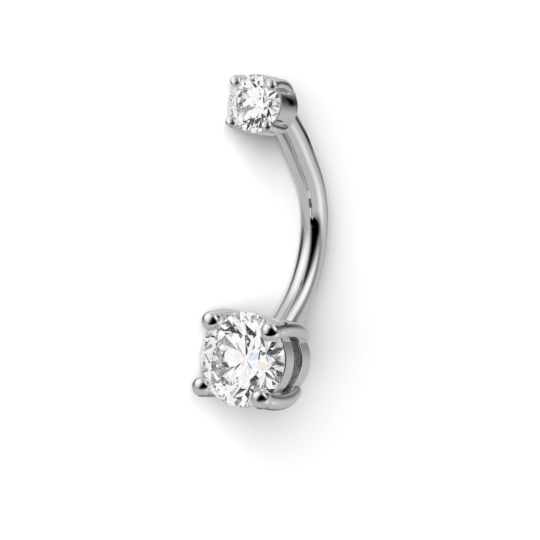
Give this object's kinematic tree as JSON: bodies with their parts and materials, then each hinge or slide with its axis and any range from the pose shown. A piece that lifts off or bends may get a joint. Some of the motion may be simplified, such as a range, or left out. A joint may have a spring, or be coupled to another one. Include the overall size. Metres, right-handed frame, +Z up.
{
  "type": "belly button ring",
  "caption": "Curved body jewellery bar with a large claw-set stone fixed to its lower end and a small claw-set stone on a screw top.",
  "frame": {"origin": "on the surface below the middle of the ring's bounding box, with the ring lying on its side", "axes": "+X from the small setting towards the large one, +Y from the stones towards the back of the bar, +Z up from the surface"},
  "size_m": [0.019, 0.0116, 0.0058],
  "materials": {
    "steel": "high polish, neutral white metal",
    "crystal": "clear cut stone, polished facets"
  },
  "bodies": {
    "bar": {"bar_and_basket": "steel", "large_stone": "crystal"},
    "post": {"screw_post": "steel"},
    "top": {"small_setting": "steel", "small_stone": "crystal"}
  },
  "joints": [
    {"name": "screw_travel", "type": "slide", "parent": "bar", "child": "post", "axis": [-0.7059, -0.6995, 0.1109], "range_m": [0, 0.0015]},
    {"name": "screw_turn", "type": "hinge", "parent": "post", "child": "top", "pos_m": [-0.00719, 0.00031, 0.00141], "axis": [-0.7059, -0.6995, 0.1109], "range_deg": [0, 2160.2]}
  ],
  "couplings": [
    {"joint": "screw_turn", "follows": "screw_travel", "rad_per_m": 25133}
  ]
}
